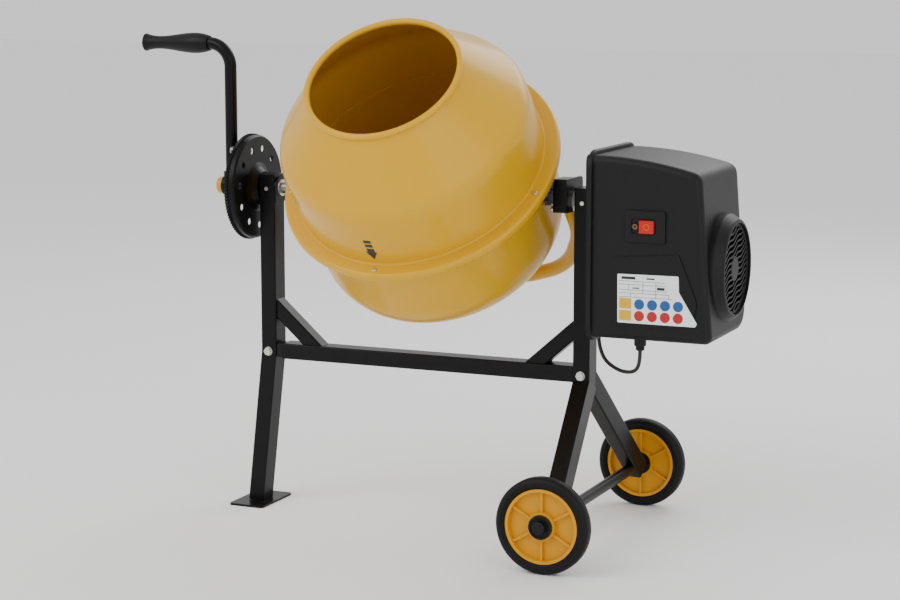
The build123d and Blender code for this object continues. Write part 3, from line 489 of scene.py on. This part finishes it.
def bar(name: str, low: Point3, high: Point3, bevel: float = 0.5, segments: int = 2) -> bpy.types.Object:
    """A box between two corners, in mm about the origin, with its edges bevelled.

    Args:
        name: The piece's name.
        low: Lowest corner.
        high: Highest corner.
        bevel: Width of the bevel.
        segments: Steps in the bevel.

    Returns:
        The mesh object.
    """
    middle = [(a + b) / 2 * MM for a, b in zip(low, high)]
    size = [(b - a) * MM for a, b in zip(low, high)]
    bpy.ops.object.select_all(action="DESELECT")
    bpy.ops.mesh.primitive_cube_add(size=1.0, location=middle)
    piece = bpy.context.object
    piece.name = name
    piece.scale = size
    bpy.ops.object.transform_apply(location=True, rotation=True, scale=True)
    bpy.ops.object.mode_set(mode="EDIT")
    bpy.ops.mesh.select_all(action="SELECT")
    bpy.ops.mesh.bevel(offset=bevel * MM, segments=segments, affect="EDGES")
    bpy.ops.object.mode_set(mode="OBJECT")
    return smooth(piece)


def joined(name: str, pieces: Iterable[bpy.types.Object]) -> bpy.types.Object:
    """Join several meshes into one piece."""
    pieces = list(pieces)
    bpy.ops.object.select_all(action="DESELECT")
    for piece in pieces:
        piece.select_set(True)
    bpy.context.view_layer.objects.active = pieces[0]
    bpy.ops.object.join()
    pieces[0].name = name
    return pieces[0]


class Workshop:
    """Holds the finishes and dresses each piece: gives it a material, parents it to its body and hides the
    nodes that it stands for.
    """

    def __init__(self) -> None:
        """Make the shared effects and one material for each finish."""
        effects = Effects()
        self.materials = {slot: finish.build(effects) for slot, finish in FINISHES.items()}

    def dress_frame(self) -> None:
        """Give every node of the frame its finish, by its slot."""
        for row in frame["record"]["subparts"]:
            mesh = frame["nodes"][row["node"]].data
            mesh.materials.clear()
            mesh.materials.append(self.materials[row["material_slot"]])

    def dress(self, piece: bpy.types.Object, body: str, slot: str, replaces: Sequence[str] = (),
              material: bpy.types.Material | None = None) -> bpy.types.Object:
        """Finish one new piece.

        Args:
            piece: The object.
            body: The body that it rides on.
            slot: The record's material slot.
            replaces: The nodes that it stands for.
            material: A finish of its own, or None for the slot's.

        Returns:
            The same object.
        """
        piece.data.materials.clear()
        piece.data.materials.append(material or self.materials[slot])
        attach(piece, body)
        if replaces:
            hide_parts(*replaces)
        LOG.info("%s on %s, %d faces", piece.name, body, len(getattr(piece.data, "polygons", ())))
        return piece


# ---- camera, light and floor ----
@dataclass
class Studio:
    """The camera at its viewing angle, soft lights and a pale floor."""

    position: Point3 = (1.5474, -3.4123, 0.97815)
    azimuth: float = 23.69
    elevation: float = 8.85
    lens: float = 86.82
    surround: float = 0.95
    floor_color: Point3 = (0.96, 0.96, 0.96)

    def build(self) -> None:
        """Make all of it."""
        self.make_camera()
        self.make_lights()
        self.make_floor()

    def make_camera(self) -> None:
        """Place the camera and make it the scene's."""
        a, e = math.radians(self.azimuth), math.radians(self.elevation)
        back = Vector((math.sin(a) * math.cos(e), -math.cos(a) * math.cos(e), math.sin(e)))
        data = bpy.data.cameras.new("camera")
        data.lens = self.lens
        data.sensor_width = 36.0
        data.sensor_fit = "HORIZONTAL"
        camera = bpy.data.objects.new("camera", data)
        camera.rotation_euler = back.to_track_quat("Z", "Y").to_euler()
        camera.location = self.position
        bpy.context.scene.collection.objects.link(camera)
        bpy.context.scene.camera = camera

    def make_lights(self) -> None:
        """A pale surround and three soft boxes."""
        world = bpy.data.worlds.new("surround")
        world.use_nodes = True
        ground = world.node_tree.nodes["Background"]
        ground.inputs["Color"].default_value = (1.0, 1.0, 1.0, 1.0)
        ground.inputs["Strength"].default_value = self.surround
        bpy.context.scene.world = world
        for name, spot, size, power in (("key", (-1.6, -2.6, 3.0), 2.4, 62.0),
                                        ("fill", (2.8, -2.2, 1.6), 2.4, 24.0),
                                        ("rim", (0.6, 2.8, 2.6), 2.0, 40.0)):
            data = bpy.data.lights.new(name, "AREA")
            data.shape = "SQUARE"
            data.size = size
            data.energy = power
            light = bpy.data.objects.new(name, data)
            light.location = spot
            aim = Vector(spot) - Vector((0.0, 0.0, 0.5))
            light.rotation_euler = aim.to_track_quat("Z", "Y").to_euler()
            bpy.context.scene.collection.objects.link(light)

    def make_floor(self) -> None:
        """A broad pale floor, which isn't part of the object."""
        bpy.ops.object.select_all(action="DESELECT")
        bpy.ops.mesh.primitive_plane_add(size=40.0, location=(0.0, 0.0, 0.0))
        floor = bpy.context.object
        floor.name = "floor"
        material = bpy.data.materials.new("floor")
        material.use_nodes = True
        surface = material.node_tree.nodes["Principled BSDF"]
        surface.inputs["Base Color"].default_value = (*self.floor_color, 1.0)
        surface.inputs["Roughness"].default_value = 0.8
        floor.data.materials.append(material)


# ---- mains cord ----
@dataclass
class MainsCord:
    """The mains lead: strain relief, free run, the coil put away on the hook, and the plug."""

    radius: float = 3.25
    route: list[Point3] = field(default_factory=lambda: [
        (427, -84, 347), (427, -84, 331), (421, -79, 315), (408, -70, 307), (387, -55, 304),
        (364, -37, 307), (345, -23, 315), (334, -14, 328), (328, -9, 345), (326, -4, 368),
        (326, 10, 390), (327, 31, 408), (329, 58, 418), (330, 85, 426), (333, 111, 437),
        (343, 131, 451), (360, 138, 468), (376, 133, 489), (387, 125, 511)])
    coil_centre: Point3 = (430.0, 122.0, 534.0)
    coil_radius: float = 40.0
    turns: int = 4
    points_per_turn: int = 14
    # the smoothed cord's length as a share of the length of its control points' line
    spline_share: float = 0.985
    coil_lift: float = 3.6
    coil_swell: float = 3.2

    def points(self) -> list[Vector]:
        """The spline's control points: the route, then the turns of the coil, then the way to the plug.

        Returns:
            The points, in metres.
        """
        result = [place(*point) for point in self.route]
        cx, cy, cz = self.coil_centre
        count = self.turns * self.points_per_turn
        reach = self.coil_radius / math.cos(math.pi / self.points_per_turn)
        for index in range(count + 1):
            angle = math.pi - 2 * math.pi * index / self.points_per_turn
            layer = index / self.points_per_turn
            lift = self.coil_lift * math.cos(math.pi * layer)
            swell = self.coil_swell * math.sin(math.pi * layer)
            ring = reach + swell
            result.append(place(cx + ring * math.cos(angle), cy + lift, cz + ring * math.sin(angle)))
        return result

    def build(self, shop: Workshop) -> None:
        """Make the cord and what is on it.

        Args:
            shop: Dresses the pieces.
        """
        points = self.points()
        plug = self.make_plug(shop, points)
        boot = self.make_boot(shop)
        curve = bpy.data.curves.new("mains_cord", "CURVE")
        curve.dimensions = "3D"
        curve.bevel_depth = self.radius * MM
        curve.bevel_resolution = 5
        curve.resolution_u = 8
        curve.use_fill_caps = True
        spline = curve.splines.new("NURBS")
        spline.points.add(len(points) - 1)
        for control, point in zip(spline.points, points):
            control.co = (*point, 1.0)
        spline.order_u = 3
        spline.use_endpoint_u = True
        cord = bpy.data.objects.new("mains_cord", curve)
        bpy.context.scene.collection.objects.link(cord)
        shop.dress(cord, "frame", "cord_sheath", ["power_cord", "cord_coil"])

    def make_boot(self, shop: Workshop) -> bpy.types.Object:
        """The gland's collar and its tapered boot with moulded rings.

        Args:
            shop: Dresses the piece.

        Returns:
            The boot.
        """
        line = [(self.radius, -19.6), (5.6, -19.6), (6.4, -18.8)]
        for index in range(2):
            low = -18.0 + index * 3.0
            line += [(6.9, low), (7.4, low + 0.4), (7.4, low + 1.6), (6.9, low + 2.0)]
        line += [(7.2, -11.8), (9.4, -11.6), (10.0, -10.8), (10.0, -0.4), (9.6, 0.0), (7.4, 0.0), (7.4, 7.8),
                 (self.radius, 7.8)]
        boot = turned("cord_boot", line, 40, closed=True)
        settle(boot, Matrix.Translation(place(427, -84, 367)))
        return shop.dress(boot, "frame", "black_plastic", ["cable_gland"])

    def make_plug(self, shop: Workshop, points: Sequence[Vector]) -> bpy.types.Object:
        """A round moulded plug with two pins, hanging beside the coil.

        Args:
            shop: Dresses the piece.
            points: The cord's control points; not used.

        Returns:
            The plug.
        """
        cx, cy, cz = self.coil_centre
        px, py = cx + self.coil_radius + 1, cy + 4
        body = turned("mains_plug", [(0.0, -86.0), (15.2, -86.0), (16.8, -84.5), (17.0, -80.0), (16.0, -66.0),
                                     (14.0, -56.0), (13.0, -50.5), (9.4, -49.0), (8.6, -46.0), (7.6, -43.0),
                                     (8.0, -41.0), (7.0, -38.0), (7.3, -36.0), (6.3, -33.0), (6.6, -31.0),
                                     (5.2, -27.0), (5.0, -22.5), (0.0, -22.5)], 40)
        pins = []
        for side in (-9.5, 9.5):
            pin = turned("pin", [(0.0, -105.0), (1.6, -105.0), (2.4, -103.6), (2.4, -86.0), (0.0, -86.0)], 20)
            settle(pin, Matrix.Translation((side * MM, 0.0, 0.0)))
            pins.append(pin)
        contact = joined("plug_pins", pins)
        spot = Matrix.Translation(place(px, py, cz))
        settle(contact, spot)
        settle(body, spot)
        shop.dress(contact, "frame", "bright_steel")
        return shop.dress(body, "frame", "cord_sheath", ["power_plug"])


# ---- drum ----
@dataclass
class Drum:
    """The turning drum: upper shell with brim and rolled lip, bowl, and the direction arrow."""

    radius: float = 219.0
    crease_radius: float = 218.5
    crease_height: float = 184.0
    crease_round: float = 55.0
    brim_radius: float = 245.5
    brim_top: float = 74.5
    brim_skirt: float = 12.0
    mouth_radius: float = 132.0
    mouth_height: float = 294.0
    lip_radius: float = 5.5
    bottom: float = 142.0
    corner: float = 92.0
    wall: float = 2.0
    steps: int = 160
    arrow_angle: float = -1.5
    arrow_width: float = 20.0
    arrow_bars: tuple[Point2, ...] = ((126.5, 133.0), (116.5, 123.0), (103.0, 112.5))
    arrow_head: float = 98.0
    print_height: float = 0.4

    def build(self, shop: Workshop) -> None:
        """Make the shells and the arrow.

        Args:
            shop: Dresses the pieces.
        """
        lip_z = self.mouth_height - self.lip_radius
        line = rounded([(self.brim_radius, self.brim_top - self.brim_skirt),
                        (self.brim_radius, self.brim_top),
                        (self.radius, self.brim_top), (self.crease_radius, self.crease_height),
                        (self.mouth_radius + 3.51, lip_z - 4.24)], [6.0, 4.0, self.crease_round], 16)
        line += arc((self.mouth_radius, lip_z), self.lip_radius, -46.0, 228.0, 18)
        upper = self.shell("upper_drum", line)
        shop.dress(upper, "drum", "yellow_paint", ["drum_upper"])
        outer = self.radius - self.wall
        line = rounded([(28.0, -self.bottom), (outer, -self.bottom), (outer, self.brim_top - 2 * self.wall),
                        (self.brim_radius - 7, self.brim_top - 2 * self.wall)], [self.corner, 3.0], 24)
        lower = self.shell("lower_bowl", line)
        shop.dress(lower, "drum", "yellow_paint", ["drum_lower"])
        seam = turned("drum_seam", [(outer - 3.6, self.brim_top - 7), (outer - 0.4, self.brim_top - 7),
                                    (outer - 0.4, self.brim_top + 4), (outer - 3.6, self.brim_top + 4)],
                      self.steps, closed=True)
        shop.dress(settle(seam, DRUM_PLACE), "drum", "yellow_paint")
        self.make_arrow(shop)

    def make_arrow(self, shop: Workshop) -> None:
        """Print a broken arrow on the drum's wall, which points to the brim.

        Args:
            shop: Dresses the piece.
        """
        face = self.radius + self.print_height
        half = self.arrow_width / 3
        strips = [bar("strip", (-half, -face, low), (half, 1 - face, high), 0.1, 1)
                  for low, high in self.arrow_bars]
        bpy.ops.object.select_all(action="DESELECT")
        bpy.ops.mesh.primitive_cylinder_add(vertices=3, radius=self.arrow_width * MM / math.sqrt(3), depth=MM,
                                            location=(0.0, (0.5 - face) * MM, self.arrow_head * MM),
                                            rotation=(math.pi / 2, math.pi, 0.0))
        strips.append(bpy.context.object)
        for strip in strips:
            settle(strip, Matrix.Identity(4))
        arrow = joined("drum_arrow", strips)
        settle(arrow, DRUM_PLACE @ Matrix.Rotation(math.radians(self.arrow_angle), 4, "Z"))
        shop.dress(arrow, "drum", "label", material=shop.materials["print_black"])

    def shell(self, name: str, line: Sequence[Point2]) -> bpy.types.Object:
        """Spin a wall's outer line and give it its thickness inwards.

        Args:
            name: The piece's name.
            line: The outer line.

        Returns:
            The shell in its place.
        """
        piece = turned(name, line, self.steps)
        applied(piece, "SOLIDIFY", thickness=self.wall * MM, offset=-1.0, use_even_offset=True)
        smooth(piece, 40.0)
        return settle(piece, DRUM_PLACE)


# ---- housing ----
@dataclass
class Grille:
    """The round fan grille: ring, wavy slats that rise towards the back, and a plain hub."""

    centre: Point3 = (556.0, 0.0, 480.0)
    radius: float = 75.4
    ring: float = 5.0
    hub: float = 21.0
    pitch: float = 9.4
    slope: float = 0.3
    wave: float = 2.4
    wave_length: float = 48.0
    depth: float = 5.6
    slat_depth: float = 1.5
    slat_width: float = 3.0
    step: float = 2.0

    def build(self, shop: Workshop) -> None:
        """Make the grille as one piece.

        Args:
            shop: Dresses the piece.
        """
        inner = self.radius - self.ring
        pieces = [self.disc("ring", [(inner, 0.0), (self.radius, 0.0), (self.radius, self.depth - 1),
                                     (self.radius - 1, self.depth), (inner + 1.5, self.depth), (inner, 4.0)]),
                  self.disc("hub", [(0.0, 0.5), (self.hub, 0.5), (self.hub, 4.2),
                                    (self.hub - 1.2, self.depth - 0.4), (0.0, self.depth)])]
        for index in range(-9, 10):
            pieces += [self.slat(line) for line in self.clip(index * self.pitch, inner + 1) if len(line) > 1]
        grille = joined("fan_grille_slats", pieces)
        settle(grille, Matrix.Translation(place(*self.centre)))
        shop.dress(smooth(grille), "frame", "black_plastic", ["fan_grille"])

    def disc(self, name: str, line: Sequence[Point2]) -> bpy.types.Object:
        """Turn an outline about X."""
        return settle(turned(name, line, 72, closed=True), ALONG_X)

    def clip(self, rise: float, inner: float) -> list[list[Point2]]:
        """Points of one wavy slat that lie between the hub and the ring.

        Args:
            rise: The slat's height at the middle.
            inner: The ring's inner radius.

        Returns:
            The runs of points, across and up.
        """
        runs: list[list[Point2]] = [[]]
        across = -inner
        while across <= inner:
            up = rise + self.slope * across + self.wave * math.sin(2 * math.pi * across / self.wave_length)
            if self.hub - 1 < math.hypot(across, up) < inner:
                runs[-1].append((across, up))
            elif runs[-1]:
                runs.append([])
            across += self.step
        return runs

    def slat(self, line: Sequence[Point2]) -> bpy.types.Object:
        """Draw one slat as a ribbon along its points, near the grille's outer face."""
        bpy.ops.object.select_all(action="DESELECT")
        start = (self.depth - self.slat_depth - 0.4, *line[0])
        bpy.ops.mesh.primitive_plane_add(size=MM, location=[value * MM for value in start])
        piece = bpy.context.object
        bpy.ops.object.transform_apply(location=True, rotation=True, scale=True)
        bpy.ops.object.mode_set(mode="EDIT")
        bpy.ops.mesh.select_all(action="SELECT")
        bpy.ops.mesh.merge(type="CENTER")
        for before, after in zip(line, line[1:]):
            step = (0.0, (after[0] - before[0]) * MM, (after[1] - before[1]) * MM)
            bpy.ops.mesh.extrude_region_move(TRANSFORM_OT_translate={"value": step})
        bpy.ops.mesh.select_all(action="SELECT")
        bpy.ops.mesh.extrude_region_move(TRANSFORM_OT_translate={"value": (self.slat_depth * MM, 0.0, 0.0)})
        bpy.ops.object.mode_set(mode="OBJECT")
        return applied(piece, "SOLIDIFY", thickness=self.slat_width * MM, offset=0.0)


@dataclass
class Prints:
    """The plain table and coloured marks on the rating plate, and the rings on the two buttons."""

    face: float = -109.8
    proud: float = 0.12
    rules: tuple[tuple[float, float, float], ...] = (
        (465.5, 397.5, 477.0), (460.0, 397.5, 477.0), (451.0, 397.5, 480.0), (446.0, 397.5, 484.0),
        (439.5, 397.5, 489.0))
    stops: tuple[tuple[float, float, float], ...] = (
        (414.0, 451.0, 460.0), (439.0, 446.0, 465.5), (461.0, 439.5, 465.5), (418.0, 439.5, 446.0),
        (483.0, 439.5, 446.0))
    discs: tuple[float, ...] = (433.0, 455.0, 477.0, 499.0)

    def build(self, shop: Workshop) -> None:
        """Make every print.

        Args:
            shop: Dresses the pieces.
        """
        lines = [self.patch(x0, x1, z - 0.35, z + 0.35) for z, x0, x1 in self.rules]
        lines += [self.patch(x - 0.35, x + 0.35, z0, z1) for x, z0, z1 in self.stops]
        lines += [self.patch(402.0, 426.0, 468.5, 473.0), self.patch(445.0, 459.0, 469.5, 472.0),
                  self.patch(463.0, 476.0, 453.0, 457.5), self.patch(421.0, 433.0, 453.5, 455.5)]
        self.finish(shop, "plate_rules", lines, "print_black")
        self.finish(shop, "plate_squares", [self.patch(398.6, 419.6, 420.0, 437.5),
                                            self.patch(398.6, 419.6, 400.5, 417.5)], "print_yellow")
        self.finish(shop, "plate_blue", [self.disc(x, 428.0) for x in self.discs], "print_blue")
        self.finish(shop, "plate_red", [self.disc(x, 408.8) for x in self.discs], "print_red")
        self.ring(shop, "start_ring", (424.6, -111.5, 555.0), 3.4, "start_button")
        self.ring(shop, "stop_ring", (444.3, -113.5, 555.0), 4.6, "stop_button")

    def patch(self, x0: float, x1: float, z0: float, z1: float) -> bpy.types.Object:
        """One flat printed patch on the plate, with its corners in mm."""
        patch = bar("patch", (x0, self.face - self.proud, z0), (x1, self.face + self.proud, z1), 0.05, 1)
        return settle(patch, Matrix.Translation(SHIFT * MM))

    def disc(self, x: float, z: float) -> bpy.types.Object:
        """One flat printed disc on the plate."""
        disc = turned("disc", [(0.0, -self.proud), (8.6, -self.proud), (8.7, 0.0), (8.6, self.proud),
                               (0.0, self.proud)], 40)
        return settle(disc, Matrix.Translation(place(x, self.face, z)) @ TOWARDS_FRONT)

    def finish(self, shop: Workshop, name: str, pieces: Sequence[bpy.types.Object], ink: str) -> None:
        """Join printed patches and give them their ink."""
        shop.dress(joined(name, pieces), "frame", "label", material=shop.materials[ink])

    def ring(self, shop: Workshop, name: str, spot: Point3, radius: float, body: str) -> None:
        """A thin printed ring on a button's face."""
        ring = turned(name, arc((radius, 0.0), 0.35, 0.0, 330.0, 11), 32, closed=True)
        settle(ring, Matrix.Translation(place(*spot)) @ TOWARDS_FRONT)
        shop.dress(ring, body, "label", material=shop.materials["print_gold"])


# ---- wheels ----
@dataclass
class Tyre:
    """A solid tyre with a raised ring on each side wall and shallow grooves round the tread."""

    name: str
    side: float
    radius: float = 80.0
    bead: float = 62.0
    half: float = 15.0
    axle: Point2 = (322.0, 248.0)

    def build(self, shop: Workshop) -> None:
        """Make the tyre.

        Args:
            shop: Dresses the piece.
        """
        r, h = self.radius, self.half
        bead = self.bead
        wall = [(bead, h - 5), (bead + 3.5, h - 1.4), (bead + 6, h - 1.2), (bead + 7, h - 0.1),
                (bead + 9, h), (bead + 10, h - 1.3), (r - 5, h - 2), (r - 1.6, h - 5), (r, h - 8.4)]
        tread = [(r, 4.6), (r - 0.8, 4.2), (r - 0.8, 3.2), (r, 2.8)]
        upper = wall + tread
        line = upper + [(a, -b) for a, b in reversed(upper)]
        tyre = turned(self.name, line, 120, closed=True)
        spin = Matrix.Rotation(math.radians(90.0), 4, "X")
        settle(tyre, Matrix.Translation(place(self.axle[0], self.side * self.axle[1], r)) @ spin)
        wheel, node = (self.name.replace("_rubber", ending) for ending in ("_wheel", "_tyre"))
        shop.dress(tyre, wheel, "tyre", [node])


def main() -> None:
    """Build the scene piece by piece."""
    logging.basicConfig(level=logging.INFO, format="%(message)s")
    Studio().build()
    shop = Workshop()
    shop.dress_frame()
    for part in (MainsCord(), Drum(), Grille(), Prints(), Tyre("front_rubber", -1.0),
                 Tyre("rear_rubber", 1.0)):
        LOG.info("building %s", type(part).__name__)
        part.build(shop)


if __name__ == "__main__":
    main()
